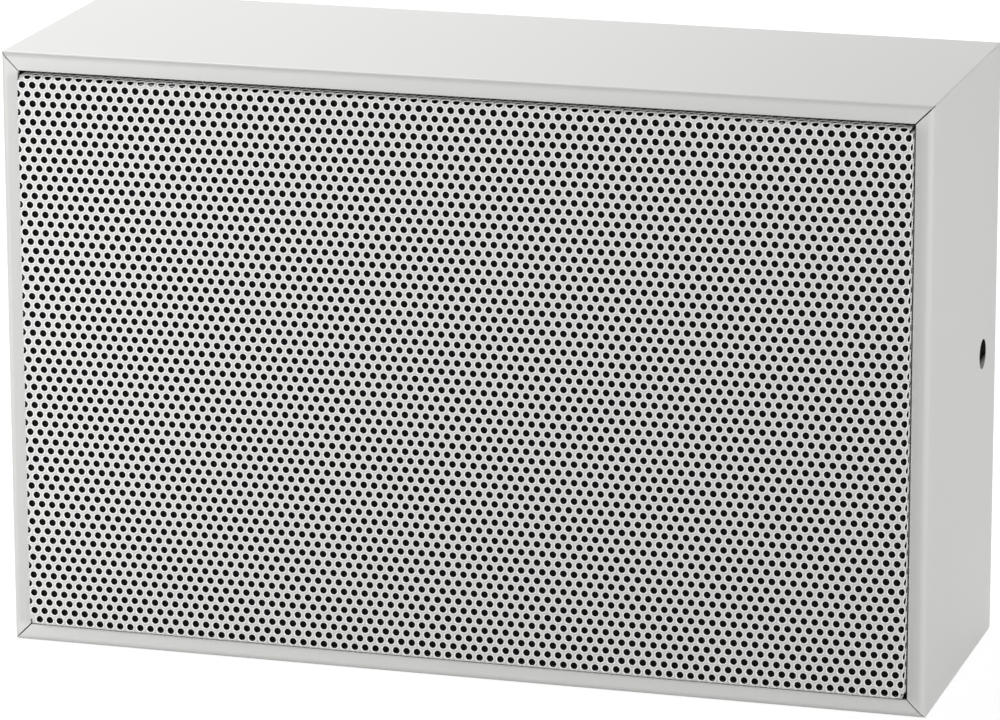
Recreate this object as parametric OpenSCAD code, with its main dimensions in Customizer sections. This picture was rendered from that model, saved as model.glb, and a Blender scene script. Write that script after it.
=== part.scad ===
// Wall speaker in a folded steel cabinet with a perforated front grille.
// The frame's origin is the centre of the wall plane. The front faces -Y and +Z is up.

/* [Cabinet] */
// Width of the cabinet
body_w = 306; // [300:1:320]
// Height of the cabinet
body_h = 197.5; // [195:0.5:210]
// Depth of the cabinet, from the wall to the front flange
body_d = 100; // [98:1:120]
// Thickness of the cabinet sheet
sheet_t = 1.5; // [1:0.1:2]
// Width of the front flange round the grille
flange_w = 5.8; // [4:0.1:8]
// Outer radius of the front bends
bend_r = 2.2; // [2:0.1:3]
// Outer radius of the welded depth edges
edge_r = 0.5; // [0.3:0.1:1]
// Width of the mitre seams in the front flange
seam_w = 0.4; // [0.2:0.1:0.8]

/* [Grille] */
// Width of the folded grille
grille_w = 293.4; // [290:0.1:294]
// Height of the folded grille
grille_h = 184; // [180:0.5:185]
// How far the grille stands in front of the flange
grille_proud = 3.3; // [0.5:0.1:4]
// Thickness of the perforated sheet
grille_t = 0.8; // [0.6:0.1:1]
// Outer radius of the grille's folds
grille_r = 1.1; // [1.1:0.1:2]
// Diameter of a grille hole
hole_d = 5; // [4:0.5:8]
// Distance between neighbouring holes in a row
hole_pitch = 8.75; // [7:0.25:14]

/* [Baffle] */
// Thickness of the baffle board
board_t = 12; // [9:1:16]
// Distance from the flange's front to the baffle board
board_back = 9; // [8:0.5:12]
// Diameter of the cut-out for the driver
cutout_d = 147; // [140:1:150]

/* [Driver] */
// Outer diameter of the driver's basket
driver_d = 166; // [160:1:168]
// Outer diameter of the magnet ring
magnet_d = 84; // [70:1:90]
// Diameter of the pole inside the voice coil
pole_d = 24; // [24:1:25]

/* [Wall plate] */
// Depth of the side lips that take the fixing screws
lip_d = 30; // [26:1:34]
// Distance of the side screws from the wall
side_screw_y = 20; // [16:1:24]
// Distance between the wall holes, across
wall_hole_x = 240; // [200:5:250]
// Distance between the wall holes, up and down
wall_hole_z = 130; // [100:5:150]
// Diameter of the wall holes
wall_hole_d = 5.5; // [4:0.5:6]
// Diameter of the cable entry
cable_d = 8; // [6:0.5:10]

/* [Hidden] */

// Slack that keeps a cutter clear of the face it leaves
past = 1;
// Running slack round screws and inserts
fit_gap = 0.05;
// Facet counts of the round pieces in the preview
fine = 96;
medium = 48;
small = 32;
coarse = 16;

// Cabinet faces
front_y = -body_d;
inner_w = body_w - 2 * sheet_t;
inner_h = body_h - 2 * sheet_t;
opening_w = body_w - 2 * flange_w;
opening_h = body_h - 2 * flange_w;
board_y = front_y + board_back;
board_rear = board_y + board_t;
grille_y = front_y - grille_proud;
cloth_t = 1;

// Grille perforation: staggered rows at 60 degrees
row_step = hole_pitch * sqrt(3) / 2;
rows_half = floor((grille_h / 2 - grille_r - 1 - hole_d / 2) / row_step);
cols_half = floor((grille_w / 2 - grille_r - 1 - hole_d / 2) / hole_pitch);
corner_notch = grille_t + 0.5;

// Clips that grip the grille's folds, and their screws in the board
clip_x = 200;
clip_t = 0.8;
clip_foot = 11;
clip_inner_z = grille_h / 2 - grille_t;
clip_screw_z = clip_inner_z - clip_t - clip_foot / 2;
clip_screw_r = 1.5;

// Screws that hold the board to its brackets
board_screw_x = 278;
board_screw_z = 140;
board_screw_r = 2.05;
board_head_r = 4.1;
bracket_t = 1.5;

// Driver along its axis, from the front flange to the rear of the yoke
basket_t = 1.2;
basket_y = board_y - basket_t;
flange_in_r = 66;
ring_y = basket_y + 26.2;
ring_r = 46;
seat_r = 34;
plate_front = board_y + 33.2;
plate_t = 5;
magnet_t = 15;
yoke_t = 5;
magnet_y = plate_front + plate_t;
yoke_y = magnet_y + magnet_t;
pole_r = pole_d / 2;
former_in = pole_r + 0.4;
former_out = former_in + 0.25;
winding_r = former_out + 0.75;
gap_r = winding_r + 0.5;
former_front = plate_front - 16.2;
cone_neck_y = former_front + 3.1;
cone_rim_r = 57;
cone_t = 0.7;
roll_r = 3.5;
roll_mid_r = flange_in_r - 3;
surround_t = 0.5;
screw_ring_r = driver_d / 2 - 5;
driver_screw_r = 1.9;

// Side screws: a 90 degree countersunk head
head_r = 4.9;
sink_r = head_r + fit_gap;
shank_r = 2.5;

// Transformer on the rear of the baffle board
core_x = -115;
core_l = 42;
core_v = 35;
core_w = 15;
leg_w = 7;
strap_t = 1;
ear_l = 10;
strap_screw_r = 1.7;
bobbin_wall = 0.9;

// Terminal block and cable entry on the wall plate
block_x = -90;
block_z = -60;
block_l = 30;
block_v = 16;
block_w = 14;
pole_step = 8;
entry_x = -52;
entry_z = -60;

// Routes of the leads, from one soldered or clamped end to the other
red_route = [[-100.3, -58, 8], [-93, -57, 9], [-83, -54, 9], [-74, -58, 7], [-69, -64, 5], [-64.3, -65, 5]];
black_route = [
  [-100.3, -62, 1], [-93, -61, 0], [-83, -58, -3], [-74, -60, -5], [-69, -64, -5], [-64.3, -65, -5]
];
white_route = [
  [-100.3, -58, -8], [-94, -56, -10], [-91, -46, -17], [-92, -34, -27], [-95, -20, -38], [-98, -11, -46],
  [-98, -10, -52], [-98, -10, -58]
];
yellow_route = [
  [-100.3, -64, -5], [-91, -62, -8], [-84, -50, -15], [-83, -34, -26], [-86, -20, -37], [-90, -11, -46],
  [-90, -10, -52], [-90, -10, -58]
];
tinsel_route = [[-38, -83, 6], [-44, -79, 6], [-51, -76, 5.5], [-56, -71, 5], [-57, -65.4, 5]];
lead_r = 1;
tinsel_r = 0.5;

white_paint = [0.86, 0.87, 0.86];
black_paint = [0.08, 0.08, 0.09];
steel = [0.72, 0.73, 0.75];

// Turns a shape so that its Z axis points from the front to the wall
module along_y() {
  rotate([-90, 0, 0]) children();
}

// Places a shape on a side wall, with Z pointing out of the cabinet
module on_side(s) {
  translate([s * body_w / 2, -side_screw_y, 0]) rotate([0, s * 90, 0]) children();
}

// Repeats a shape at the four corners of a rectangle in the XZ plane
module at_corners(w, h) {
  for (sx = [-1, 1])
    for (sz = [-1, 1])
      translate([sx * w / 2, 0, sz * h / 2]) children();
}

// Outline with two rounded front corners, from y = 0 at the front to y = d
module folded_outline(w, d, r) {
  translate([-w / 2, r]) square([w, d - r]);
  translate([-w / 2 + r, 0]) square([w - 2 * r, r]);
  for (s = [-1, 1])
    translate([s * (w / 2 - r), r]) circle(r = r, $fn = small);
}

module rounded_rect(w, h, r) {
  square([w - 2 * r, h], center = true);
  square([w, h - 2 * r], center = true);
  for (sx = [-1, 1])
    for (sy = [-1, 1])
      translate([sx * (w / 2 - r), sy * (h / 2 - r)]) circle(r = r, $fn = small);
}

// Block whose four front edges are bent with radius r and meet in mitres
module folded_block(w, h, d, r) {
  intersection() {
    translate([0, 0, -h / 2]) linear_extrude(height = h) folded_outline(w, d, r);
    rotate([0, 90, 0]) translate([0, 0, -w / 2]) linear_extrude(height = w) folded_outline(h, d, r);
  }
}

// Flat panel in the XZ plane, from y to y + t
module panel(w, h, y, t) {
  translate([-w / 2, y, -h / 2]) cube([w, t, h]);
}

// Ring or disc round the driver's axis, from y0 to y1
module ring(r_out, r_in, y0, y1) {
  along_y() translate([0, 0, y0]) difference() {
    cylinder(h = y1 - y0, r = r_out, $fn = fine);
    translate([0, 0, -past]) cylinder(h = y1 - y0 + 2 * past, r = r_in, $fn = fine);
  }
}

// Solid of revolution round the driver's axis from points [radius, y]
module turned(points) {
  along_y() rotate_extrude($fn = fine) polygon(points);
}

// Points along an arc round (r, y), from angle a0 to a1 in n steps
function arc(r, y, rad, a0, a1, n) =
  [for (i = [0:n]) let (a = a0 + (a1 - a0) * i / n) [r + rad * cos(a), y + rad * sin(a)]];

function reversed(list) = [for (i = [len(list) - 1:-1:0]) list[i]];

// Cross recess cut into the top of a screw head, with the top at z = 0
module cross_recess(l, w, depth) {
  for (a = [0, 90])
    rotate([0, 0, a]) translate([-l / 2, -w / 2, -depth]) cube([l, w, depth + past]);
}

// Pan head screw with its head seated at z = 0 and its shank going up
module pan_screw(head, head_h, shank, length) {
  difference() {
    union() {
      translate([0, 0, -head_h]) cylinder(h = head_h * 0.4, r1 = head * 0.72, r2 = head, $fn = small);
      translate([0, 0, -head_h * 0.6]) cylinder(h = head_h * 0.6, r = head, $fn = small);
      translate([0, 0, -head_h * 0.3]) cylinder(h = length + head_h * 0.3, r = shank, $fn = small);
    }
    translate([0, 0, -head_h]) mirror([0, 0, 1]) cross_recess(head, head * 0.25, head_h * 0.6);
  }
}

// Smooth point between b and c on a route through a, b, c and d
function between(a, b, c, d, t) =
  0.5 * (2 * b + (c - a) * t + (2 * a - 5 * b + 4 * c - d) * t * t + (3 * b - a - 3 * c + d) * t * t * t);

function smooth_route(p, steps) = [
  for (i = [0:len(p) - 2])
    for (k = [0:steps - 1])
      between(p[max(i - 1, 0)], p[i], p[i + 1], p[min(i + 2, len(p) - 1)], k / steps),
  p[len(p) - 1]
];

function unit(v) = v / norm(v);

function heading(p, i) = unit(p[min(i + 1, len(p) - 1)] - p[max(i - 1, 0)]);

// Round lead with eight sides swept along a route. The route never runs parallel to up
module lead(route, r, up = [0, 0, 1]) {
  sides = 8;
  steps = 2;
  p = smooth_route(route, steps);
  rings = len(p);
  points = [
    for (i = [0:rings - 1])
      let (h = heading(p, i), u = unit(cross(h, up)), v = cross(h, u))
        for (k = [0:sides - 1])
          p[i] + r * (cos(360 * k / sides) * u + sin(360 * k / sides) * v)
  ];
  walls = [
    for (i = [0:rings - 2])
      for (k = [0:sides - 1])
        let (a = i * sides + k, b = i * sides + (k + 1) % sides)
          each [[a, a + sides, b], [b, a + sides, b + sides]]
  ];
  start_cap = [for (k = [0:sides - 1]) k];
  end_cap = [for (k = [sides - 1:-1:0]) (rings - 1) * sides + k];
  polyhedron(points = points, faces = concat(walls, [start_cap], [end_cap]));
}

// One folded and welded sheet: four walls, a front flange with mitred seams and countersunk side holes
module cabinet_shell() {
  color(white_paint)
    difference() {
      intersection() {
        translate([0, front_y, 0]) folded_block(body_w, body_h, body_d, bend_r);
        along_y() translate([0, 0, front_y])
          linear_extrude(height = body_d) rounded_rect(body_w, body_h, edge_r);
      }
      translate([0, front_y + sheet_t, 0]) folded_block(inner_w, inner_h, body_d, bend_r - sheet_t);
      panel(opening_w, opening_h, front_y - past, 3 * past + sheet_t);
      mitre_seams();
      side_holes();
    }
}

module mitre_seams() {
  for (sx = [-1, 1])
    for (sz = [-1, 1])
      translate([sx * body_w / 2, front_y - past, sz * body_h / 2])
        rotate([0, atan2(sz, -sx), 0])
          translate([-past, 0, -seam_w / 2])
            cube([flange_w * sqrt(2) + 2 * past, bend_r + past, seam_w]);
}

// Countersink that runs through the cabinet wall into the plate's lip, with its through hole
module side_holes() {
  depth = 4;
  for (s = [-1, 1])
    on_side(s) {
      translate([0, 0, shank_r - sink_r])
        cylinder(h = sink_r - shank_r + past, r1 = shank_r, r2 = sink_r + past, $fn = small);
      translate([0, 0, -depth]) cylinder(h = depth, r = shank_r + 2 * fit_gap, $fn = small);
    }
}

// Perforated sheet folded back on four sides, with a relief notch at each corner
module grille() {
  depth = board_y - grille_y;
  color(white_paint)
    difference() {
      translate([0, grille_y, 0]) folded_block(grille_w, grille_h, depth, grille_r);
      translate([0, grille_y + grille_t, 0])
        folded_block(grille_w - 2 * grille_t, grille_h - 2 * grille_t, depth, grille_r - grille_t);
      at_corners(grille_w, grille_h)
        translate([-corner_notch, grille_y - past, -corner_notch])
          cube([2 * corner_notch, depth + 2 * past, 2 * corner_notch]);
      perforation();
    }
}

module perforation() {
  for (row = [-rows_half:rows_half])
    let (shift = abs(row) % 2 / 2)
      for (col = [-cols_half:cols_half - ceil(shift)])
        translate([(col + shift) * hole_pitch, 0, row * row_step])
          along_y() translate([0, 0, grille_y - past])
            cylinder(h = grille_t + 2 * past, d = hole_d, $fn = coarse);
}

module grille_cloth() {
  color(black_paint)
    panel(grille_w - 2 * grille_t - 0.6, grille_h - 2 * grille_t - 0.6, grille_y + grille_t, cloth_t);
}

// Bent spring strips on the board that grip the grille's top and bottom folds
module grille_clips() {
  strip_w = 12;
  reach = 7.5;
  color(steel)
    for (sx = [-1, 1])
      for (sz = [-1, 1])
        translate([sx * clip_x / 2, board_y, 0])
          mirror([0, 0, sz < 0 ? 1 : 0])
            difference() {
              translate([-strip_w / 2, 0, 0]) rotate([90, 0, 90]) linear_extrude(height = strip_w)
                clip_outline(clip_inner_z, clip_foot, reach, clip_t);
              translate([0, 0, clip_screw_z]) along_y()
                translate([0, 0, -clip_t - past])
                  cylinder(h = clip_t + 2 * past, r = clip_screw_r + 2 * fit_gap, $fn = small);
            }
}

// Side view of a clip: a foot on the board, a leg along the fold and a lead-in bent away from it
module clip_outline(z, foot, reach, t) {
  polygon([
    [0, z - foot], [-t, z - foot], [-t, z - t - 0.4], [-t - 0.4, z - t],
    [-reach, z - t], [-reach - 1.2, z - t - 1.4], [-reach - 1.7, z - t - 1],
    [-reach - 0.2, z], [0, z]
  ]);
}

module clip_screws() {
  color(steel)
    at_corners(clip_x, 2 * clip_screw_z)
      translate([0, board_y - clip_t, 0]) along_y() pan_screw(2.8, 1.8, clip_screw_r, 8);
}

// Black board behind the flange, with the driver's cut-out and pilot holes
module baffle_board() {
  head_sink = board_head_r - board_screw_r + fit_gap;
  sink_end = board_screw_r + fit_gap;
  color([0.13, 0.12, 0.11])
    difference() {
      panel(inner_w - 1, inner_h - 1, board_y, board_t);
      along_y() translate([0, 0, board_y - past]) cylinder(h = board_t + 2 * past, d = cutout_d, $fn = fine);
      for (a = [45:90:315])
        driver_screw_place(a) pilot_hole(board_y - past, 11, driver_screw_r);
      at_corners(board_screw_x, board_screw_z) along_y() {
        pilot_hole(board_y - past, board_t + 2 * past, board_screw_r + 2 * fit_gap);
        translate([0, 0, board_y - fit_gap])
          cylinder(h = head_sink, r1 = board_head_r + 2 * fit_gap, r2 = sink_end, $fn = small);
      }
      at_corners(clip_x, 2 * clip_screw_z) along_y() pilot_hole(board_y - past, 9, clip_screw_r);
      for (s = [-1, 1])
        translate([core_x, 0, s * (core_l + ear_l) / 2])
          along_y() pilot_hole(board_rear - 9, 9 + past, strap_screw_r);
    }
}

// Cutter for a screw of radius r, from y on along the axis
module pilot_hole(y, depth, r) {
  translate([0, 0, y]) cylinder(h = depth, r = r + fit_gap, $fn = small);
}

// Angle brackets spot-welded to the side walls behind the board
module baffle_brackets() {
  bracket_w = 22;
  leg = 22;
  color(steel)
    for (sx = [-1, 1])
      for (sz = [-1, 1])
        difference() {
          translate([sx * inner_w / 2, board_rear, sz * board_screw_z / 2 - bracket_w / 2])
            mirror([sx > 0 ? 1 : 0, 0, 0])
              linear_extrude(height = bracket_w) difference() {
                square([leg, leg]);
                translate([bracket_t, bracket_t]) square([leg, leg]);
              }
          translate([sx * board_screw_x / 2, 0, sz * board_screw_z / 2])
            along_y() pilot_hole(board_rear - past, bracket_t + 2 * past, board_screw_r);
        }
}

module baffle_screws() {
  color(black_paint)
    at_corners(board_screw_x, board_screw_z) along_y() translate([0, 0, board_y]) difference() {
      union() {
        cylinder(h = board_head_r - board_screw_r, r1 = board_head_r, r2 = board_screw_r, $fn = small);
        cylinder(h = board_t + 4, r = board_screw_r, $fn = small);
      }
      mirror([0, 0, 1]) cross_recess(4.4, 0.9, 1.3);
    }
}

// Pressed steel basket: screw flange, windowed cone, spider ring and magnet seat
module driver_basket() {
  out_r = driver_d / 2;
  color([0.16, 0.16, 0.17])
    difference() {
      turned([
        [out_r, basket_y], [flange_in_r, basket_y], [ring_r, ring_y], [seat_r, ring_y],
        [seat_r, plate_front - basket_t], [22, plate_front - basket_t], [22, plate_front],
        [seat_r + basket_t, plate_front], [seat_r + basket_t, ring_y + basket_t],
        [ring_r + 0.6, ring_y + basket_t], [flange_in_r + 0.6, board_y], [out_r, board_y]
      ]);
      for (a = [0:60:300])
        along_y() rotate([0, 0, a - 20]) rotate_extrude(angle = 40, $fn = fine) basket_window();
      for (a = [45:90:315])
        driver_screw_place(a) pilot_hole(basket_y - past, basket_t + 2 * past, driver_screw_r + 0.35);
    }
}

module basket_window() {
  polygon([[63, basket_y + 1], [69, board_y + 7], [52, ring_y + 4], [46.5, ring_y - 5]]);
}

module driver_screw_place(a) {
  along_y() rotate([0, 0, a]) translate([screw_ring_r, 0, 0]) children();
}

module driver_screws() {
  color(black_paint)
    for (a = [45:90:315])
      driver_screw_place(a) translate([0, 0, basket_y]) pan_screw(3.8, 2.4, driver_screw_r, 11);
}

module driver_gasket() {
  color([0.2, 0.2, 0.2]) ring(72, 67.5, basket_y - surround_t - 2, basket_y - surround_t);
}

// Half roll between the cone's rim and the basket
module surround() {
  color([0.1, 0.1, 0.1])
    turned(concat(
      [[72, basket_y], [72, basket_y - surround_t]],
      arc(roll_mid_r, basket_y - surround_t, roll_r, 0, -180, 12),
      [[cone_rim_r + 0.3, basket_y - surround_t], [cone_rim_r + 0.3, basket_y]],
      arc(roll_mid_r, basket_y, roll_r - surround_t, -180, 0, 12)
    ));
}

// Front face of the paper cone at radius r
function cone_y(r) =
  cone_neck_y - (cone_neck_y - basket_y) * pow((r - former_out) / (cone_rim_r - former_out), 0.88);

module cone() {
  steps = 9;
  radii = [for (i = [0:steps]) former_out + (cone_rim_r - former_out) * i / steps];
  front = [for (r = radii) [r, cone_y(r)]];
  rear = [for (r = reversed(radii)) [r, cone_y(r) + cone_t]];
  rim = roll_mid_r - roll_r;
  color([0.17, 0.17, 0.18])
    turned(concat(front, [[rim, basket_y], [rim, basket_y + cone_t]], rear));
}

// Small stiff cone that carries the treble, standing on the coil former
module whizzer_cone() {
  t = 0.5;
  y0 = former_front + 0.5;
  flare = [for (i = [0:6]) [former_out + 17 * i / 6, y0 - 12 * pow(i / 6, 0.8)]];
  back = [for (p = reversed(flare)) [p[0] + t * 0.6, p[1] + t]];
  color([0.75, 0.72, 0.65])
    turned(concat(flare, back, [[former_out + t, y0 + 2], [former_out, y0 + 2]]));
}

module dust_cap() {
  t = 0.5;
  rise = 5;
  chord = former_out;
  rad = (chord * chord + rise * rise) / (2 * rise);
  mid_y = former_front - rise + rad;
  a0 = -acos(chord / rad);
  inner = rad - t;
  b0 = -acos(sqrt(inner * inner - pow(rad - rise, 2)) / inner);
  color([0.12, 0.12, 0.13])
    turned(concat(arc(0, mid_y, rad, a0, -90, 8), arc(0, mid_y, inner, -90, b0, 8)));
}

module coil_former() {
  color([0.8, 0.62, 0.35]) ring(former_out, former_in, former_front, plate_front + plate_t + 3);
}

module coil_winding() {
  color([0.72, 0.38, 0.2]) ring(winding_r, former_out, plate_front - 2.5, plate_front + plate_t + 2.5);
}

// Corrugated centring disc between the coil former and the basket's ring
module spider() {
  waves = 5;
  flat_r = seat_r - 0.5;
  t = 0.6;
  n = 40;
  height = 1.1;
  mid_y = ring_y - t;
  front = [
    for (i = [0:n])
      let (r = former_out + (flat_r - former_out) * i / n) [r, mid_y - height * sin(waves * 360 * i / n)]
  ];
  rear = [for (p = reversed(front)) [p[0], p[1] + t]];
  color([0.78, 0.66, 0.4])
    turned(concat(front, [[45, mid_y], [45, mid_y + t]], rear));
}

module top_plate() {
  color(steel) ring(37.5, gap_r, plate_front, magnet_y);
}

module magnet_ring() {
  color([0.22, 0.22, 0.23]) ring(magnet_d / 2, 19, magnet_y, yoke_y);
}

// Pole and rear plate in one piece, with a vent through the pole
module pole_yoke() {
  vent_r = 4;
  out_r = 37.5;
  rear = yoke_y + yoke_t;
  chamfer = 1;
  color(steel)
    turned([
      [vent_r, plate_front - 0.5], [pole_r, plate_front - 0.5], [pole_r, yoke_y], [out_r, yoke_y],
      [out_r, rear - chamfer], [out_r - chamfer, rear], [vent_r + 2, rear], [vent_r, rear - 2]
    ]);
}

// Insulating strip on the basket's ring that carries the solder tags
module tag_strip() {
  color([0.45, 0.28, 0.14])
    difference() {
      translate([-60, ring_y + basket_t, -10]) cube([23, 1.6, 20]);
      along_y() translate([0, 0, ring_y]) cylinder(h = 6, r = seat_r + basket_t + 0.3, $fn = fine);
    }
}

module solder_tags() {
  tag_t = 0.4;
  color("gold")
    for (s = [-1, 1])
      translate([-64, ring_y + basket_t - tag_t, s * 5 - 1.5]) cube([12, tag_t, 3]);
}

module tinsel_leads() {
  color([0.75, 0.6, 0.4])
    for (s = [0, 1])
      mirror([0, 0, s]) lead(tinsel_route, tinsel_r);
}

// Stack of E and I laminations: a frame with two windows and a centre leg
module transformer_core() {
  window_l = leg_w;
  window_v = core_v - 2 * leg_w;
  color([0.35, 0.36, 0.38])
    difference() {
      translate([core_x - core_w / 2, board_rear, -core_l / 2]) cube([core_w, core_v, core_l]);
      for (s = [-1, 1])
        translate([core_x - core_w / 2 - past, board_rear + leg_w, s * (leg_w + window_l / 2) - window_l / 2])
          cube([core_w + 2 * past, window_v, window_l]);
    }
}

// Block round the transformer's centre leg: across by deep by long, from y0 to y1
module round_leg(across, along, y0, y1) {
  translate([core_x - across / 2, y0, -along / 2]) cube([across, y1 - y0, along]);
}

module transformer_bobbin() {
  y0 = board_rear + leg_w;
  y1 = board_rear + core_v - leg_w;
  color([0.85, 0.83, 0.75])
    difference() {
      union() {
        round_leg(31, 27.4, y0, y0 + bobbin_wall);
        round_leg(31, 27.4, y1 - bobbin_wall, y1);
        round_leg(core_w + 2 * bobbin_wall, 2 * leg_w + 2 * bobbin_wall, y0, y1);
      }
      round_leg(core_w, 2 * leg_w, y0 - past, y1 + past);
    }
}

module transformer_winding() {
  y0 = board_rear + leg_w + bobbin_wall;
  y1 = board_rear + core_v - leg_w - bobbin_wall;
  color([0.75, 0.55, 0.2])
    difference() {
      along_y() translate([core_x, 0, y0]) linear_extrude(height = y1 - y0) rounded_rect(29, 25.6, 3);
      round_leg(core_w + 2 * bobbin_wall, 2 * leg_w + 2 * bobbin_wall, y0 - past, y1 + past);
    }
}

// Steel strap over the core with an ear at each end
module transformer_strap() {
  half = core_l / 2;
  color(steel)
    difference() {
      translate([core_x - core_w / 2, board_rear, 0])
        rotate([90, 0, 90]) linear_extrude(height = core_w) difference() {
          union() {
            translate([0, -half - strap_t]) square([core_v + strap_t, core_l + 2 * strap_t]);
            translate([0, -half - ear_l]) square([strap_t, core_l + 2 * ear_l]);
          }
          translate([-past, -half]) square([core_v + past, core_l]);
        }
      for (s = [-1, 1])
        translate([core_x, 0, s * (core_l + ear_l) / 2])
          along_y() pilot_hole(board_rear - past, strap_t + 2 * past, strap_screw_r + 0.2);
    }
}

module transformer_screws() {
  color(steel)
    for (s = [-1, 1])
      translate([core_x, board_rear + strap_t, s * (core_l + ear_l) / 2])
        rotate([90, 0, 0]) pan_screw(3.2, 2, strap_screw_r, 9);
}

// Three-way screw terminal with wire mouths on its upper side
module terminal_block() {
  top = -sheet_t - block_v;
  color([0.9, 0.9, 0.87])
    difference() {
      translate([block_x - block_l / 2, top, block_z - block_w / 2]) cube([block_l, block_v, block_w]);
      for (k = [-1:1])
        translate([block_x + k * pole_step, 0, block_z]) {
          translate([0, -10, -block_w]) cylinder(h = 2 * block_w, r = lead_r + fit_gap, $fn = small);
          translate([0, -10, block_w / 2 - 2]) cylinder(h = 2 + past, r = 1.8, $fn = small);
          along_y() translate([0, 0, top - past]) cylinder(h = 4 + past, r = 2.4, $fn = small);
        }
      for (k = [-0.5, 0.5])
        translate([block_x + k * pole_step - 0.6, top - past, block_z - block_w])
          cube([1.2, 3 + past, 2 * block_w]);
    }
}

module terminal_screws() {
  top = -sheet_t - block_v;
  color(steel)
    for (k = [-1:1])
      translate([block_x + k * pole_step, top + 1.2, block_z]) along_y() difference() {
        cylinder(h = 2.8, r = 2.4 - fit_gap, $fn = small);
        translate([-3, -0.4, -past]) cube([6, 0.8, 0.8 + past]);
      }
}

module speaker_lead_red() {
  color("firebrick") lead(red_route, lead_r);
}

module speaker_lead_black() {
  color(black_paint) lead(black_route, lead_r);
}

module line_lead_white() {
  color("white") lead(white_route, lead_r, [1, 1, 0]);
}

module line_lead_yellow() {
  color("gold") lead(yellow_route, lead_r, [1, 1, 0]);
}

module damping_pad() {
  color([0.6, 0.6, 0.58])
    translate([-100, board_rear + 8, inner_h / 2 - 8]) cube([200, 55, 8]);
}

// One-sided rubber bush in the wall plate, flush with the wall
module cable_grommet() {
  neck_r = cable_d / 2 + 2;
  color(black_paint)
    translate([entry_x, 0, entry_z])
      turned([
        [cable_d / 2, 0], [cable_d / 2, -4], [cable_d / 2 + 3.5, -4], [neck_r + 2.5, -3],
        [neck_r + 2.5, -sheet_t], [neck_r, -sheet_t], [neck_r, 0]
      ]);
}

// Tray-shaped plate that is screwed to the wall and carries the cabinet by its side lips
module wall_plate() {
  plate_h = inner_h - 0.6;
  short_lip = 12;
  color(white_paint)
    difference() {
      translate([0, -sheet_t, 0]) union() {
        panel(inner_w, plate_h, 0, sheet_t);
        for (s = [-1, 1])
          translate([s * (inner_w - sheet_t) / 2, 0, 0])
            panel(sheet_t, plate_h - 30, sheet_t - lip_d, lip_d);
        for (s = [-1, 1])
          translate([0, 0, s * (plate_h - sheet_t) / 2])
            panel(inner_w - 40, sheet_t, sheet_t - short_lip, short_lip);
      }
      at_corners(wall_hole_x, wall_hole_z)
        along_y() translate([0, 0, -sheet_t - past])
          cylinder(h = sheet_t + 2 * past, d = wall_hole_d, $fn = small);
      translate([entry_x, 0, entry_z])
        along_y() translate([0, 0, -sheet_t - past])
          cylinder(h = sheet_t + 2 * past, r = cable_d / 2 + 2 + fit_gap, $fn = medium);
      side_holes();
    }
}

// Threaded inserts clinched into the lips
module clinch_nuts() {
  nut_l = 5;
  color(steel)
    for (s = [-1, 1])
      on_side(s) translate([0, 0, -2 * sheet_t - nut_l]) difference() {
        cylinder(h = nut_l, r = 4.5, $fn = small);
        translate([0, 0, -past]) cylinder(h = nut_l + 2 * past, r = shank_r + fit_gap, $fn = small);
      }
}

// Countersunk screws with a cross recess, flush in the side walls
module side_screws() {
  head_l = head_r - shank_r;
  color([0.35, 0.35, 0.36])
    for (s = [-1, 1])
      on_side(s) difference() {
        union() {
          translate([0, 0, -head_l]) cylinder(h = head_l, r1 = shank_r, r2 = head_r, $fn = small);
          translate([0, 0, -10]) cylinder(h = 10, r = shank_r, $fn = small);
        }
        cross_recess(5.4, 1.1, 1.9);
      }
}

cabinet_shell();
grille();
grille_cloth();
grille_clips();
clip_screws();
baffle_board();
baffle_brackets();
baffle_screws();
driver_basket();
driver_gasket();
surround();
cone();
whizzer_cone();
dust_cap();
coil_former();
coil_winding();
spider();
top_plate();
magnet_ring();
pole_yoke();
tag_strip();
solder_tags();
tinsel_leads();
driver_screws();
transformer_core();
transformer_bobbin();
transformer_winding();
transformer_strap();
transformer_screws();
terminal_block();
terminal_screws();
speaker_lead_red();
speaker_lead_black();
line_lead_white();
line_lead_yellow();
damping_pad();
cable_grommet();
wall_plate();
clinch_nuts();
side_screws();
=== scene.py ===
import math

import bpy
import numpy as np
from mathutils import Matrix, Vector


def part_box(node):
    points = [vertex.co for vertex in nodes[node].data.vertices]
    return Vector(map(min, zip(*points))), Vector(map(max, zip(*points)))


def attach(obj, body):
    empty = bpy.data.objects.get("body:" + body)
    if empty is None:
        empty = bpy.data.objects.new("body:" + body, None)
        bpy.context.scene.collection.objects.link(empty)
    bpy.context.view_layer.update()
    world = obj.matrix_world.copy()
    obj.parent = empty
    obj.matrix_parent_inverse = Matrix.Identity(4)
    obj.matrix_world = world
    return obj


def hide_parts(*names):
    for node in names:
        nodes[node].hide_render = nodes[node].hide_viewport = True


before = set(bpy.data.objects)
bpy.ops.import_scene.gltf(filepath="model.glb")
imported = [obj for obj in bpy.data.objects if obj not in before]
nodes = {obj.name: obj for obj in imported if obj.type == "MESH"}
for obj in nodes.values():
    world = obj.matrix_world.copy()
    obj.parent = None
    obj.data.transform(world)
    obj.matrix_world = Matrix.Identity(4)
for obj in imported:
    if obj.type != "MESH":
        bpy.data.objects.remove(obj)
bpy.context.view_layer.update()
scene = bpy.context.scene

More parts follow.
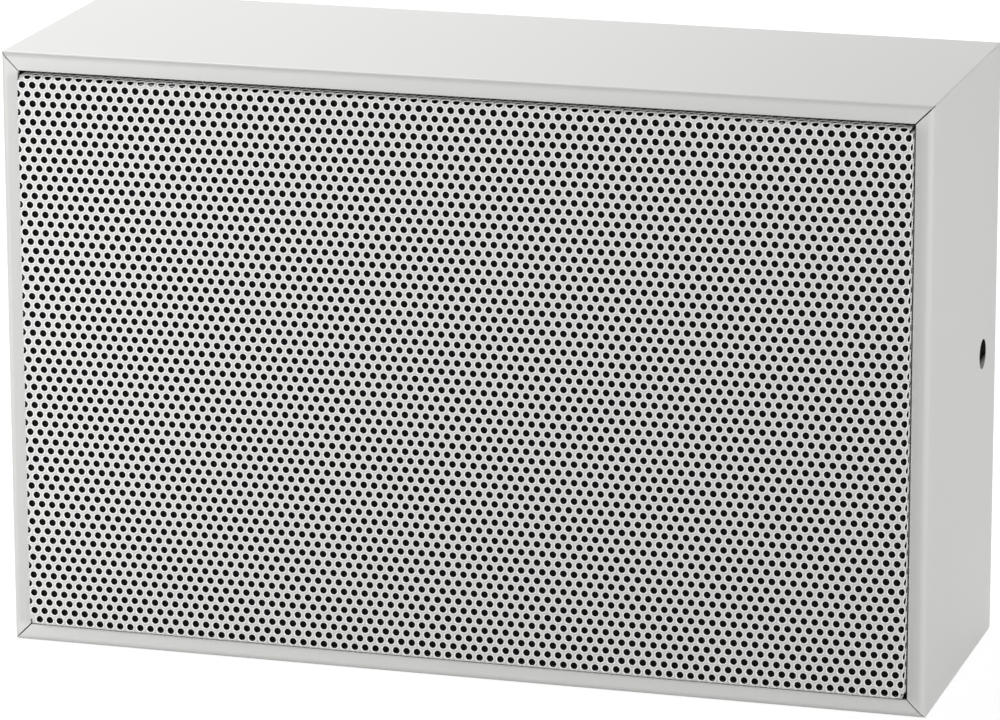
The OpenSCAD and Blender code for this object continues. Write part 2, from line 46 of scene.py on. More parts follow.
# Grille sheet, in metres: the real perforation is much finer than the bores of the solid model
HOLE_R = 0.00115
HOLE_LIP = 0.00018  # rounded edge that the punch leaves round each hole
SHEET_T = 0.0008
FOLD_R = 0.0011
NOTCH = 0.0013  # square cut out of each corner, so that the folds meet
PITCH = 0.0034982  # from hole to hole along a row
ROW = 0.0030350  # from row to row
LATTICE_X = 0.0023740  # one hole's centre, from the middle of the sheet
LATTICE_Z = 0.0100950
QUARTER = PITCH / 4
HALF = ROW / 2
RING = 12  # corners of a hole
CUTS = (-84, 0, 84)  # quarter columns at which the sheet is divided into four stretches

# Outline of a brick round its hole, and of a plain cell, in quarter columns and half rows
BRICK = (
    (2, 0), (2, 1), (1, 1), (0, 1), (-1, 1), (-2, 1),
    (-2, 0), (-2, -1), (-1, -1), (0, -1), (1, -1), (2, -1),
)
SQUARE = ((0, 0), (1, 0), (1, 1), (0, 1))

# Cloth behind the sheet, in metres
CLOTH_T = 0.0004
CLOTH_WAVE = 0.00008
CLOTH_STEP = 0.0025
# Waves across, up, and a finer ripple across, in radians for each metre
CLOTH_ACROSS = 61
CLOTH_UP = 83
CLOTH_RIPPLE = 140

# Colours
PAINT = (0.63, 0.63, 0.615)
# Painted highlight on the lit rounded rims of the grille's holes
RIM_HIGHLIGHT = (0.92, 0.92, 0.905)
# Painted shade: the holes' walls darkened to near black
HOLE_WALL_SHADE = (0.010, 0.010, 0.010)
# Screw heads: their black also stands in for the countersinks' shade
BLACKENED = (0.012, 0.012, 0.012)
# Painted light: the lit lower part of the screw heads
HEAD_LIT_GREY = (0.20, 0.20, 0.20)
ACOUSTIC_BLACK = (0.016, 0.016, 0.017)
ZINC = (0.62, 0.63, 0.65)
ZINC_SHEET = (0.60, 0.61, 0.63)
ZINC_IRON = (0.60, 0.61, 0.62)
SPRING_STEEL = (0.55, 0.56, 0.58)
BLACK_STEEL = (0.04, 0.04, 0.04)
LAMINATIONS = (0.20, 0.20, 0.21)
COPPER = (0.60, 0.28, 0.14)
TINSEL = (0.60, 0.42, 0.22)
TINNED_BRASS = (0.70, 0.62, 0.40)
BASKET_BLACK = (0.05, 0.05, 0.055)
FERRITE = (0.05, 0.05, 0.055)
FIBREBOARD = (0.03, 0.028, 0.026)
GASKET_BOARD = (0.07, 0.07, 0.07)
BROWN_BOARD = (0.22, 0.11, 0.05)
FLEECE = (0.35, 0.35, 0.34)
SURROUND_CLOTH = (0.04, 0.04, 0.04)
CAP_CLOTH = (0.05, 0.05, 0.05)
RESIN_CLOTH = (0.55, 0.40, 0.16)
BLACK_PAPER = (0.06, 0.06, 0.065)
CREAM_PAPER = (0.55, 0.50, 0.40)
AMBER = (0.55, 0.33, 0.12)
NYLON = (0.65, 0.62, 0.52)
YELLOW_TAPE = (0.62, 0.45, 0.08)
WHITE_PLASTIC = (0.78, 0.78, 0.75)
RUBBER = (0.025, 0.025, 0.025)
SLEEVES = {
    "speaker_lead_red": (0.50, 0.03, 0.03),
    "speaker_lead_black": (0.03, 0.03, 0.03),
    "line_lead_white": (0.78, 0.78, 0.76),
    "line_lead_yellow": (0.70, 0.55, 0.06),
}

# Camera, in metres: the photograph is taken with a long lens from the upper right
CAMERA_AT = Vector((0.5223, -1.8271, 0.4850))
CAMERA_LOOK = Vector((-0.2730, 0.9273, -0.2559))
CAMERA_ROLL = math.radians(-0.16)
FOCAL_PX = 5877.6
FRAME_PX = 1000
SENSOR = 36.0  # millimetres
NEAR, FAR = 0.1, 20

# Studio
WORLD_LEVEL = 0.2  # the even light from all round
FLOOR_HALF = 3.0  # half the floor's width, in metres
FLOOR_GAP = 0.0002  # keeps the floor off the cabinet
FLOOR_TONE = (0.6, 0.6, 0.6)  # the floor as the light meets it
FLOOR_GLOW = 0.85  # the floor as the camera sees it: its own white, and a coat that takes the shadow
FLOOR_COAT = (0.3, 0.3, 0.3)
# Lamps: distance in metres, height and turn in degrees, size in metres, power in watts
LAMPS = {
    "front": (2.5, 20, 15, 0.8, 9.5),
    "far_right": (2.5, 5, 60, 0.8, 31.8),
    "near_left": (0.7, 5, -45, 0.4, 2.1),
    "rear_far": (2.5, 35, -135, 0.8, 33.2),
    "rear_high": (1.0, 50, -150, 0.5, 3.8),
}

GRILLE_LOW, GRILLE_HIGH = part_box("grille")
SHELL_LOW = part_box("cabinet_shell")[0]
CLOTH_LOW, CLOTH_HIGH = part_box("grille_cloth")


class Value:
    """A socket in a node tree that takes part in Python expressions."""

    def __init__(self, tree, socket):
        self.tree = tree
        self.socket = socket

    def math(self, operation, *others):
        """The result of a Math node on this value and the others."""
        node = self.tree.nodes.new("ShaderNodeMath")
        node.operation = operation
        for at, value in enumerate((self, *others)):
            plug(self.tree, node.inputs[at], value)
        return Value(self.tree, node.outputs[0])

    def __add__(self, other):
        return self.math("ADD", other)

    __radd__ = __add__

    def __mul__(self, other):
        return self.math("MULTIPLY", other)

    __rmul__ = __mul__

    def __sub__(self, other):
        return self.math("SUBTRACT", other)

    def __rsub__(self, other):
        return self * -1 + other

    def wave(self, pitch):
        """Runs from 0 to 1 and back once for each pitch."""
        return (self * (2 * math.pi / pitch)).math("SINE") * 0.5 + 0.5


def plug(tree, socket, value):
    """Links a Value, or sets a plain number or colour."""
    if isinstance(value, Value):
        tree.links.new(value.socket, socket)
    else:
        socket.default_value = value


def add_node(tree, kind, settings=None, output=0, sockets=None):
    """Adds a node with its settings and the values of its sockets, and gives one of its outputs."""
    node = tree.nodes.new(kind)
    for key, value in (settings or {}).items():
        if key == "stops":
            ramp = node.color_ramp
            for at, (position, color) in enumerate(value):
                stop = ramp.elements[at] if at < 2 else ramp.elements.new(position)
                stop.position = position
                stop.color = (*color, 1)
        else:
            setattr(node, key, value)
    for socket, value in (sockets or {}).items():
        plug(tree, node.inputs[socket], value)
    return Value(tree, node.outputs[output])


class Finish:
    """A material under construction: a Principled shader and the nodes that feed it."""

    def __init__(self, name, color, roughness, **fixed):
        self.material = bpy.data.materials.new(name)
        self.material.use_nodes = True
        self.tree = self.material.node_tree
        self.shader = self.tree.nodes["Principled BSDF"]
        self.set({"Base Color": (*color, 1), "Roughness": roughness, **fixed})

    def set(self, values):
        """Fills the shader's sockets with numbers, colours or Values."""
        for socket, value in values.items():
            plug(self.tree, self.shader.inputs[socket], value)

    def node(self, kind, settings=None, output=0, sockets=None):
        """Adds a node to this material."""
        return add_node(self.tree, kind, settings, output, sockets)

    def position(self, stretch=None):
        """Object coordinates, scaled along the three axes where stretch is given."""
        place = self.node("ShaderNodeTexCoord", output=3)
        if stretch is None:
            return place
        return self.node("ShaderNodeMapping", sockets={"Vector": place, "Scale": stretch})

    def along(self, axis):
        """The object coordinate on axis 0, 1 or 2."""
        return self.node("ShaderNodeSeparateXYZ", output=axis, sockets={"Vector": self.position()})

    def noise(self, scale, detail=2.0, roughness=0.5, distortion=0.0, stretch=None):
        """Cloudy noise from 0 to 1 on the piece itself."""
        sockets = {"Vector": self.position(stretch), "Scale": scale, "Detail": detail}
        sockets.update({"Roughness": roughness, "Distortion": distortion})
        return self.node("ShaderNodeTexNoise", sockets=sockets)

    def mixed(self, mask, low, high):
        """Two colours blended by a mask.

        A Mix node takes its colours at sockets 6 and 7 and gives the blend at output 2.
        """
        sockets = {0: mask, 6: (*low, 1), 7: (*high, 1)}
        return self.node("ShaderNodeMix", {"data_type": "RGBA"}, output=2, sockets=sockets)

    def bump(self, height, distance, strength=1.0):
        """Relief in the surface, with its depth in metres."""
        sockets = {"Height": height, "Distance": distance, "Strength": strength}
        self.set({"Normal": self.node("ShaderNodeBump", sockets=sockets)})


def shade(color, factor):
    """The colour made lighter or darker by a factor."""
    return tuple(min(c * factor, 1) for c in color)


def grained(name, color, roughness, spread=0.03, cloud=24, grain=900, depth=0.00004, **fixed):
    """Paint, plastic, ferrite or rubber: tone and gloss drift in soft clouds over grain of two sizes."""
    made = Finish(name, color, roughness, **fixed)
    clouds = made.noise(cloud, detail=3)
    made.set({
        "Base Color": made.mixed(clouds, shade(color, 1 - spread), shade(color, 1 + spread)),
        "Roughness": clouds * 0.08 + (roughness - 0.04),
    })
    made.bump(made.noise(grain) * 0.75 + made.noise(grain * 3.6) * 0.25, depth, strength=0.35)
    return made.material


def plated(name, color, roughness, stretch=(1, 1, 1), **fixed):
    """Plated or bright steel: blotches of dull plating over a grain drawn out along one axis."""
    made = Finish(name, color, roughness, Metallic=1.0, **fixed)
    blotch = made.noise(140, detail=3, roughness=0.6)
    lines = made.noise(900, detail=3, roughness=0.6, stretch=stretch)
    made.set({
        "Base Color": made.mixed(blotch, shade(color, 0.88), shade(color, 1.08)),
        "Roughness": blotch * 0.16 + lines * 0.10 + (roughness - 0.12),
    })
    made.bump(lines, 0.00002, strength=0.4)
    return made.material


def fibrous(name, color, roughness, scale=1400, depth=0.00025, spread=0.15, **fixed):
    """Felt, paper or fibreboard: tangled fibres from distorted noise, in lighter and darker tufts."""
    made = Finish(name, color, roughness, **fixed)
    fibres = made.noise(scale, detail=4, roughness=0.7, distortion=1.5)
    tufts = made.noise(scale / 18)
    mask = fibres * 0.7 + tufts * 0.3
    made.set({"Base Color": made.mixed(mask, shade(color, 1 - spread), shade(color, 1 + spread))})
    made.bump(mask, depth, strength=0.5)
    return made.material


def woven(name, color, roughness, yarn=0.0006, depth=0.00008, **fixed):
    """Plain weave in the plane of the front: a wave for each yarn across and up, in uneven tones."""
    made = Finish(name, color, roughness, **fixed)
    across = made.along(0).wave(yarn)
    up = made.along(2).wave(yarn)
    crossing = across * up + (1 - across) * (1 - up)
    slub = made.noise(260)
    mask = crossing * 0.8 + slub * 0.2
    made.set({"Base Color": made.mixed(mask, shade(color, 0.5), shade(color, 1.5))})
    made.bump(crossing, depth, strength=0.6)
    return made.material


def layered(name, color, roughness, axis, pitch, depth, dark=0.55, **fixed):
    """Windings, laminations and tape: ridges at a pitch along one axis, darker in the grooves: painted
    shade between turns, wraps and braids, and the dark joints between laminations.
    """
    made = Finish(name, color, roughness, **fixed)
    ridge = made.along(axis).wave(pitch)
    worn = made.noise(300, detail=3)
    mask = ridge * 0.75 + worn * 0.25
    made.set({
        # Painted shade: the blend's dark end falls in the grooves
        "Base Color": made.mixed(mask, shade(color, dark), shade(color, 1.1)),
        "Roughness": worn * 0.12 + (roughness - 0.06),
    })
    made.bump(ridge, depth, strength=0.6)
    return made.material


def blackened_head(name):
    """Matt black screw heads, their black also standing in for the shade of the countersink, with painted
    light: grey over the lower part of the head, where it is lit.

    The mask of the painted light is a slope that rises down the head, plus patches of noise, held between
    0 and 1.
    """
    made = Finish(name, BLACKENED, 0.6, **{"Specular IOR Level": 0.0})
    patches = made.noise(700, detail=3, roughness=0.7)
    slope = made.along(2) * -420 - 0.75 + patches * 0.9
    # Painted light: grey where the lower part of the head is lit
    lit_below = slope.math("MAXIMUM", 0).math("MINIMUM", 1)
    made.set({
        "Base Color": made.mixed(lit_below, BLACKENED, HEAD_LIT_GREY),
        "Roughness": patches * 0.3 + 0.4,
    })
    made.bump(patches, 0.00003, strength=0.4)
    return made.material


def perforated_coat(name):
    """The cabinet's coat, with a painted highlight on and close to the rounded rim of each hole, where
    the rim catches the light; between the holes the coat is a shade darker than the cabinet's.

    The mesh carries a number, rim, the mask of the painted highlight, that rises from 0 between the holes
    to 1 at their edges.
    """
    made = Finish(name, PAINT, 0.45, IOR=1.5)
    place = made.node("ShaderNodeAttribute", {"attribute_name": "rim"}, output=2)
    # Between the holes a shade darker; the ramp rises to the painted highlight at the rims
    flat = shade(PAINT, 0.92)
    stops = ((0.0, flat), (0.5, flat), (0.95, RIM_HIGHLIGHT))
    color = made.node("ShaderNodeValToRGB", {"stops": stops}, sockets={"Fac": place})
    clouds = made.noise(24, detail=3)
    made.set({"Base Color": color, "Roughness": clouds * 0.08 + 0.41})
    made.bump(made.noise(900) * 0.75 + made.noise(3200) * 0.25, 0.00004, strength=0.3)
    return made.material


def shaded_hole_wall(name):
    """The wall that the punch leaves in each hole, matt and near black, with fine tear marks: its own
    thinly coated edge, darkened by painted shade inside the hole.
    """
    made = Finish(name, HOLE_WALL_SHADE, 0.9, **{"Specular IOR Level": 0.05})
    marks = made.noise(2500)
    made.set({"Base Color": made.mixed(marks, shade(HOLE_WALL_SHADE, 0.6), shade(HOLE_WALL_SHADE, 1.4))})
    made.bump(marks, 0.00003, strength=0.4)
    return made.material


def place_mesh(name, points, quads, normals=None, rim=None):
    """Makes a mesh from arrays of points and of four-cornered faces.

    The normals and the rim values have one entry for each corner of each face.
    """
    mesh = bpy.data.meshes.new(name)
    mesh.vertices.add(len(points))
    mesh.vertices.foreach_set("co", points.astype(np.float32).ravel())
    corners = quads.shape[1]
    mesh.loops.add(quads.size)
    mesh.loops.foreach_set("vertex_index", quads.astype(np.int32).ravel())
    mesh.polygons.add(len(quads))
    mesh.polygons.foreach_set("loop_start", np.arange(0, quads.size, corners, dtype=np.int32))
    mesh.polygons.foreach_set("use_smooth", np.ones(len(quads), dtype=bool))
    mesh.update(calc_edges=True)
    if normals is not None:
        mesh.normals_split_custom_set(normals.reshape(-1, 3).tolist())
    if rim is not None:
        layer = mesh.attributes.new("rim", "FLOAT", "CORNER")
        layer.data.foreach_set("value", rim.astype(np.float32).ravel())
    piece = bpy.data.objects.new(name, mesh)
    scene.collection.objects.link(piece)
    return piece


def fold(s, half, radius):
    """Folds a flat coordinate over an edge: its place across, its depth, and the turn's sine and cosine.

    Up to half the sheet is flat, then it follows a quarter circle of the radius and runs straight back.
    """
    side = np.sign(s)
    beyond = np.maximum(np.abs(s) - half, 0)
    turn = np.minimum(beyond / radius, math.pi / 2)
    straight = np.maximum(beyond - radius * math.pi / 2, 0)
    across = side * (np.minimum(np.abs(s), half) + radius * np.sin(turn))
    depth = radius * (1 - np.cos(turn)) + straight
    return across, depth, side * np.sin(turn), np.cos(turn)


def folded_frame(u, v):
    """The folded sheet's outer surface at flat coordinates (u, v): its point, normal and two tangents.

    Each coordinate is folded over its own two edges, and the depths add up.
    """
    half_u = GRILLE_HIGH.x - FOLD_R
    half_v = GRILLE_HIGH.z - FOLD_R
    x, y_u, sin_u, cos_u = fold(u, half_u, FOLD_R)
    z, y_v, sin_v, cos_v = fold(v, half_v, FOLD_R)
    point = np.stack([x, GRILLE_LOW.y + y_u + y_v, z], -1)
    normal = np.stack([sin_u * cos_v, -cos_u * cos_v, sin_v * cos_u], -1)
    normal /= np.linalg.norm(normal, axis=-1, keepdims=True)
    along_u = np.stack([cos_u, sin_u, np.zeros_like(x)], -1)
    along_v = np.stack([np.zeros_like(z), sin_v, cos_v], -1)
    return point, normal, along_u, along_v


def lattice_limits():
    """Counts of quarter columns and half rows from the lattice's origin to the blank's four ends.

    The blank reaches from the middle to the fold, round its quarter circle and back to the grille's rear.
    """
    depth = GRILLE_HIGH.y - GRILLE_LOW.y
    run = FOLD_R * math.pi / 2 + depth - 2 * FOLD_R
    end_u = GRILLE_HIGH.x + run
    end_v = GRILLE_HIGH.z + run
    q = (math.floor((-end_u - LATTICE_X) / QUARTER), math.ceil((end_u - LATTICE_X) / QUARTER))
    h = (math.floor((-end_v - LATTICE_Z) / HALF), math.ceil((end_v - LATTICE_Z) / HALF))
    return q, h, end_u, end_v


def perforated_layout():
    """Cells of the flat blank, a quarter column wide and half a row high.

    The blank is a cross, because a square is cut out of each corner. Bricks of 4 by 2 cells, laid as in
    a wall, hold one hole each, and the cells at the ends, where no whole brick fits, stay plain. A row's
    holes are four quarter columns apart, and every second row is moved by two of them.
    """
    (q0, q1), (h0, h1), end_u, end_v = lattice_limits()
    notch_u = GRILLE_HIGH.x - NOTCH
    notch_v = GRILLE_HIGH.z - NOTCH
    arm_q = (round((-notch_u - LATTICE_X) / QUARTER), round((notch_u - LATTICE_X) / QUARTER))
    arm_h = (round((-notch_v - LATTICE_Z) / HALF), round((notch_v - LATTICE_Z) / HALF))
    q, h = np.meshgrid(np.arange(q0, q1), np.arange(h0, h1), indexing="ij")
    free = ((q >= arm_q[0]) & (q < arm_q[1])) | ((h >= arm_h[0]) & (h < arm_h[1]))
    bricks = []
    for row in range(h0 // 2 + 1, h1 // 2):
        low = 2 * row - 1 - h0
        start = q0 + 1 + (-(q0 + 1) + 2 * (row % 2) + 2) % 4
        for left in range(start, q1 - 4, 4):
            i = left - q0
            if low >= 1 and low + 2 < h1 - h0 and free[i : i + 4, low : low + 2].all():
                bricks.append((left + 2, 2 * row))
                free[i : i + 4, low : low + 2] = False
    return np.array(bricks), np.stack([q[free], h[free]], -1), end_u, end_v


def quads_between(first, second):
    """Faces between two rings of vertex numbers, one row of the arrays for each ring."""
    return np.stack([first, np.roll(first, -1, 1), np.roll(second, -1, 1), second], -1).reshape(-1, 4)


def perforated_piece(name, bricks, cells, end_u, end_v):
    """One stretch of the folded perforated sheet as a closed solid.

    A brick is a rectangle with a round hole: a flat ring from its outline to the hole, a lip shaded as a
    quarter circle, the hole's wall, and a ring on the back. The plain cells are flat front and back. The
    stretch's outline, where only one face meets an edge, is closed by a wall as thick as the sheet.
    """
    # Corners of bricks and plain cells on the lattice, shared between neighbours
    rims = bricks[:, None, :] + np.array(BRICK)[None]
    squares = cells[:, None, :] + np.array(SQUARE)[None]
    keys = np.concatenate([rims.reshape(-1, 2), squares.reshape(-1, 2)])
    lattice, number = np.unique(keys, axis=0, return_inverse=True)
    number = number.reshape(-1)
    rim_at = number[: rims.shape[0] * RING].reshape(-1, RING)
    square_at = number[rims.shape[0] * RING :].reshape(-1, 4)
    u = np.clip(LATTICE_X + QUARTER * lattice[:, 0], -end_u, end_u)
    v = np.clip(LATTICE_Z + HALF * lattice[:, 1], -end_v, end_v)
    point, normal, _, _ = folded_frame(u, v)
    count = len(lattice)

    # Three rings for each hole: round the lip, inside the lip, and on the back
    angle = 2 * math.pi * np.arange(RING) / RING
    centre_u = LATTICE_X + QUARTER * bricks[:, :1]
    centre_v = LATTICE_Z + HALF * bricks[:, 1:]
    ring_points, ring_normals, inward = [], [], []
    for radius, depth in ((HOLE_R + HOLE_LIP, 0), (HOLE_R, HOLE_LIP), (HOLE_R, SHEET_T)):
        p, n, tu, tv = folded_frame(centre_u + radius * np.cos(angle), centre_v + radius * np.sin(angle))
        ring_points.append((p - depth * n).reshape(-1, 3))
        ring_normals.append(n.reshape(-1, 3))
        inward.append(-(np.cos(angle)[:, None] * tu + np.sin(angle)[:, None] * tv).reshape(-1, 3))

    # Points: the lattice in front, the lattice on the back, then the rings
    points = np.concatenate([point, point - SHEET_T * normal, *ring_points])
    size = rims.shape[0] * RING
    front, lip, back = (2 * count + k * size + np.arange(size).reshape(-1, RING) for k in range(3))

    # The stretch's outline: the edges that only one face meets
    edges = np.concatenate([
        np.stack([rim_at, np.roll(rim_at, -1, 1)], -1).reshape(-1, 2),
        np.stack([square_at, np.roll(square_at, -1, 1)], -1).reshape(-1, 2),
    ])
    _, first, times = np.unique(np.sort(edges, 1), axis=0, return_index=True, return_counts=True)
    a, b = edges[first[times == 1]].T
    outline = np.stack([a, a + count, b + count, b], -1)

    # Faces: flat ring, lip, hole's wall, back ring, plain front, plain back, outline
    groups = [
        quads_between(rim_at, front), quads_between(front, lip), quads_between(lip, back),
        quads_between(back, rim_at + count), square_at, (square_at + count)[:, ::-1], outline,
    ]

    # Normals: out of the sheet, except that the hole's wall and the lip's inner edge look to the axis
    out = np.concatenate([normal, normal, ring_normals[0], ring_normals[1], ring_normals[2]])
    hole = np.concatenate([normal, normal, inward[0], inward[1], inward[2]])
    lipped = out.copy()
    lipped[2 * count + size : 2 * count + 2 * size] = inward[1]
    edge_way = np.cross(points[a + count] - points[a], points[b] - points[a])
    edge_way /= np.linalg.norm(edge_way, axis=1, keepdims=True)
    corner_normals = [
        out[groups[0]], lipped[groups[1]], hole[groups[2]], -out[groups[3]],
        out[groups[4]], -out[groups[5]], np.repeat(edge_way[:, None], 4, 1),
    ]

    # Rim, the mask of the painted highlight: from 0 to 1 over the flat ring, 1 on the lip, and 0
    # elsewhere
    tones = ((0, 0, 1, 1), (1, 1, 1, 1), (0, 0, 0, 0))
    rim = [np.tile(tones[min(at, 2)], (len(group), 1)) for at, group in enumerate(groups)]

    quads = np.concatenate(groups)
    piece = place_mesh(name, points, quads, np.concatenate(corner_normals), np.concatenate(rim))
    inside = np.concatenate([np.full(len(group), at == 2) for at, group in enumerate(groups)])
    piece.data.polygons.foreach_set("material_index", inside.astype(np.int32))
    return piece


def make_grille():
    """The perforated sheet in four stretches side by side, each small enough for its triangle count."""
    bricks, cells, end_u, end_v = perforated_layout()
    names = ("grille_left", "grille_mid_left", "grille_mid_right", "grille_right")
    coat = perforated_coat("white_grille_coat_rim_highlight")
    wall = shaded_hole_wall("hole_wall_painted_shade")
    for at, name in enumerate(names):
        holed = np.searchsorted(CUTS, bricks[:, 0], side="right") == at
        plain = np.searchsorted(CUTS, cells[:, 0], side="right") == at
        piece = perforated_piece(name, bricks[holed], cells[plain], end_u, end_v)
        piece.data.materials.append(coat)
        piece.data.materials.append(wall)
        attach(piece, "cabinet")
        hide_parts("grille")


def slab(name, x, z, middle, thickness):
    """Closed thin sheet over a grid of x and z: its middle moved both ways by half its thickness."""
    grid_x, grid_z = np.meshgrid(x, z, indexing="ij")
    count = grid_x.size
    front = np.stack([grid_x, middle - thickness / 2, grid_z], -1).reshape(-1, 3)
    points = np.concatenate([front, front + np.array([0, thickness, 0])])
    number = np.arange(count).reshape(grid_x.shape)
    face = np.stack([number[:-1, :-1], number[1:, :-1], number[1:, 1:], number[:-1, 1:]], -1)
    face = face.reshape(-1, 4)
    ring = np.concatenate([number[:-1, 0], number[-1, :-1], number[:0:-1, -1], number[0, :0:-1]])
    after = np.roll(ring, -1)
    edge = np.stack([ring, ring + count, after + count, after], -1)
    return place_mesh(name, points, np.concatenate([face, (face + count)[:, ::-1], edge]))


def make_cloth():
    """Acoustic cloth held by its rim: slow sine waves of about a tenth of a millimetre.

    They are scaled by half a sine across and up, so that they fade out at the edges.
    """
    width = CLOTH_HIGH.x - CLOTH_LOW.x
    height = CLOTH_HIGH.z - CLOTH_LOW.z
    x = np.linspace(CLOTH_LOW.x, CLOTH_HIGH.x, round(width / CLOTH_STEP))
    z = np.linspace(CLOTH_LOW.z, CLOTH_HIGH.z, round(height / CLOTH_STEP))
    held = np.sin(math.pi * (x - x[0]) / width)[:, None] * np.sin(math.pi * (z - z[0]) / height)[None]
    waves = np.sin(x * CLOTH_ACROSS)[:, None] * np.cos(z * CLOTH_UP)[None]
    waves = waves + 0.5 * np.sin(x * CLOTH_RIPPLE + 1)[:, None]
    middle = CLOTH_HIGH.y - CLOTH_T + CLOTH_WAVE * held * waves
    cloth = slab("acoustic_cloth", x, z, middle, CLOTH_T)
    black = woven("black_acoustic_cloth", ACOUSTIC_BLACK, 0.95, **{"Specular IOR Level": 0.1})
    cloth.data.materials.append(black)
    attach(cloth, "cabinet")
    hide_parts("grille_cloth")


def dress(material, *names):
    """Gives the carried-over solids of these names one material."""
    for name in names:
        piece = nodes[name]
        piece.data.materials.clear()
        piece.data.materials.append(material)


def dress_cabinet():
    """Cabinet, wall plate, board and grille fixings."""
    drawn = (1, 1, 0.08)
    dress(grained("white_powder_coat", PAINT, 0.48, spread=0.012, IOR=1.5), "cabinet_shell")
    plate = shade(PAINT, 0.98)
    dress(grained("white_plate_coat", plate, 0.5, spread=0.015, IOR=1.5), "wall_plate")
    dress(blackened_head("blackened_steel"), "side_screws")
    dress(fibrous("grey_fleece", FLEECE, 1.0, scale=900, depth=0.0012, spread=0.3), "damping_pad")
    board = fibrous("black_fibreboard", FIBREBOARD, 0.75, scale=700, depth=0.0002, spread=0.4)
    dress(board, "baffle_board")
    dress(plated("bright_spring_steel", SPRING_STEEL, 0.3, stretch=drawn), "grille_clips")
    sheet = plated("zinc_on_sheet", ZINC_SHEET, 0.4, stretch=drawn)
    dress(sheet, "baffle_brackets", "transformer_strap")
    screws = ("clip_screws", "transformer_screws", "terminal_screws", "clinch_nuts")
    dress(plated("zinc_on_screws", ZINC, 0.36), *screws)
    oxide = grained("black_oxide", BLACK_STEEL, 0.4, spread=0.2, cloud=60, Metallic=0.6)
    dress(oxide, "baffle_screws", "driver_screws")
    rubber = grained("soft_black_rubber", RUBBER, 0.7, spread=0.3, cloud=120, grain=1100, depth=0.00008)
    dress(rubber, "cable_grommet")


def dress_driver():
    """Basket, moving system and magnet."""
    basket = grained("black_basket_paint", BASKET_BLACK, 0.42, spread=0.1, cloud=40, grain=700)
    dress(basket, "driver_basket")
    gasket = fibrous("black_gasket_board", GASKET_BOARD, 0.9, scale=1100, depth=0.0002, spread=0.25)
    dress(gasket, "driver_gasket")
    dress(woven("coated_surround_cloth", SURROUND_CLOTH, 0.55, yarn=0.0008), "surround")
    dress(woven("stiff_cap_cloth", CAP_CLOTH, 0.7, yarn=0.0007), "dust_cap")
    dress(woven("resin_dipped_cloth", RESIN_CLOTH, 0.5, yarn=0.0009), "spider")
    cone = fibrous("black_cone_paper", BLACK_PAPER, 0.85, scale=1300, depth=0.0002, spread=0.3)
    dress(cone, "cone")
    whizzer = fibrous("cream_cone_paper", CREAM_PAPER, 0.85, scale=1300, depth=0.0002, spread=0.15)
    dress(whizzer, "whizzer_cone")
    dress(grained("amber_film", AMBER, 0.3, spread=0.1, cloud=90, grain=1500), "coil_former")
    wire = layered("copper_wire", COPPER, 0.3, axis=1, pitch=0.0003, depth=0.0001, Metallic=1.0)
    dress(wire, "coil_winding")
    dress(plated("zinc_on_iron", ZINC_IRON, 0.42, stretch=(1, 0.1, 1)), "top_plate", "pole_yoke")
    ferrite = grained("sintered_ferrite", FERRITE, 0.6, spread=0.25, cloud=70, grain=1600, depth=0.0001)
    dress(ferrite, "magnet_ring")


def dress_wiring():
    """Transformer, terminals and leads."""
    resin = {"axis": 1, "pitch": 0.0004, "depth": 0.00004, "dark": 0.8}
    dress(layered("brown_laminated_board", BROWN_BOARD, 0.5, **resin), "tag_strip")
    dress(plated("tinned_brass", TINNED_BRASS, 0.35), "solder_tags")
    braid = {"axis": 1, "pitch": 0.0008, "depth": 0.0002, "Metallic": 1.0}
    dress(layered("braided_tinsel", TINSEL, 0.4, **braid), "tinsel_leads")
    stack = {"axis": 2, "pitch": 0.0007, "depth": 0.0001, "Metallic": 0.7}
    dress(layered("varnished_laminations", LAMINATIONS, 0.45, **stack), "transformer_core")
    dress(grained("natural_nylon", NYLON, 0.45, spread=0.05, cloud=80), "transformer_bobbin")
    wraps = {"axis": 0, "pitch": 0.009, "depth": 0.0002, "dark": 0.85}
    dress(layered("yellow_winding_tape", YELLOW_TAPE, 0.28, **wraps), "transformer_winding")
    block = grained("white_moulded_plastic", WHITE_PLASTIC, 0.35, spread=0.02, cloud=50, grain=1400)
    dress(block, "terminal_block")
    for name, color in SLEEVES.items():
        sleeve = grained(name + "_sleeve", color, 0.35, spread=0.06, cloud=150, grain=1800, depth=0.00003)
        dress(sleeve, name)


def make_camera():
    """Long lens whose focal length is given in pixels of the photograph's width."""
    data = bpy.data.cameras.new("camera")
    data.sensor_width = SENSOR
    data.lens = FOCAL_PX * SENSOR / FRAME_PX
    data.clip_start = NEAR
    data.clip_end = FAR
    camera = bpy.data.objects.new("camera", data)
    scene.collection.objects.link(camera)
    turn = CAMERA_LOOK.to_track_quat("-Z", "Y").to_matrix().to_4x4()
    camera.matrix_world = Matrix.Translation(CAMERA_AT) @ turn @ Matrix.Rotation(CAMERA_ROLL, 4, "Z")
    scene.camera = camera


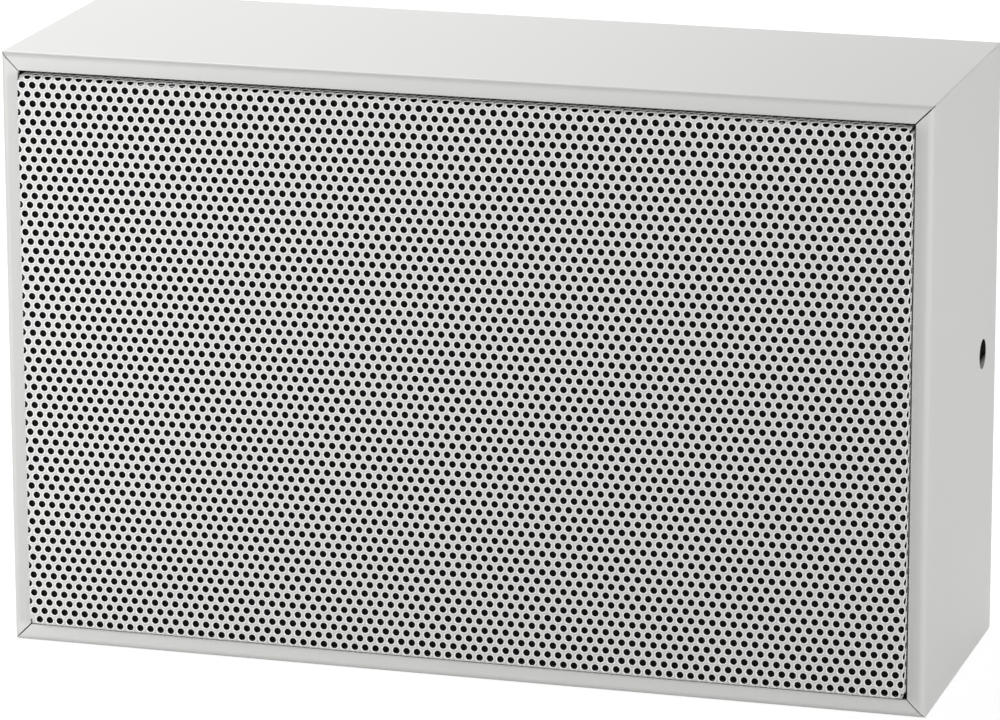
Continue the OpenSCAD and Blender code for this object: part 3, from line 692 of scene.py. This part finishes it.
def area_light(name, distance, height, turn, size, power):
    """Square lamp that looks at the middle of the object.

    Its height is an angle above the floor, and its turn runs from the front to the right.
    """
    data = bpy.data.lights.new(name, "AREA")
    data.size = size
    data.energy = power
    light = bpy.data.objects.new(name, data)
    scene.collection.objects.link(light)
    height, turn = math.radians(height), math.radians(turn)
    flat = math.cos(height)
    way = Vector((flat * math.sin(turn), -flat * math.cos(turn), math.sin(height)))
    facing = (-way).to_track_quat("-Z", "Y").to_matrix().to_4x4()
    light.matrix_world = Matrix.Translation(way * distance) @ facing


def seen_rays(tree):
    """1 for rays from the camera, mirrors and glass, and 0 for the rays that carry light."""
    seen = add_node(tree, "ShaderNodeLightPath", output="Is Camera Ray")
    for ray in ("Is Glossy Ray", "Is Transmission Ray"):
        seen = seen.math("MAXIMUM", add_node(tree, "ShaderNodeLightPath", output=ray))
    return seen


def make_world(level):
    """Even studio light of the given level, seen as plain white by the camera and in reflections."""
    world = bpy.data.worlds.new("studio")
    world.use_nodes = True
    scene.world = world
    tree = world.node_tree
    background = tree.nodes["Background"]
    plug(tree, background.inputs["Strength"], seen_rays(tree) * (1 - level) + level)
    plug(tree, background.inputs["Color"], (1, 1, 1, 1))


def make_floor():
    """Pale floor: diffuse for the light, and white with only the object's soft shadow for the eye."""
    half = FLOOR_HALF
    z = SHELL_LOW.z - FLOOR_GAP
    grid = np.array([(-half, -half, z), (half, -half, z), (half, half, z), (-half, half, z)])
    floor = place_mesh("floor", grid, np.array([[0, 1, 2, 3]]))
    made = Finish("white_floor", FLOOR_TONE, 0.9)
    tree = made.tree
    glow = made.node("ShaderNodeEmission", sockets={"Color": (1, 1, 1, 1), "Strength": FLOOR_GLOW})
    soft = made.node("ShaderNodeBsdfDiffuse", sockets={"Color": (*FLOOR_COAT, 1)})
    white = made.node("ShaderNodeAddShader", sockets={0: glow, 1: soft})
    plain = Value(tree, made.shader.outputs[0])
    look = made.node("ShaderNodeMixShader", sockets={0: seen_rays(tree), 1: plain, 2: white})
    plug(tree, tree.nodes["Material Output"].inputs["Surface"], look)
    floor.data.materials.append(made.material)


make_camera()
make_world(WORLD_LEVEL)
make_floor()
for lamp, values in LAMPS.items():
    area_light(lamp, *values)
scene.view_settings.view_transform = "Standard"

make_grille()
make_cloth()
dress_cabinet()
dress_driver()
dress_wiring()
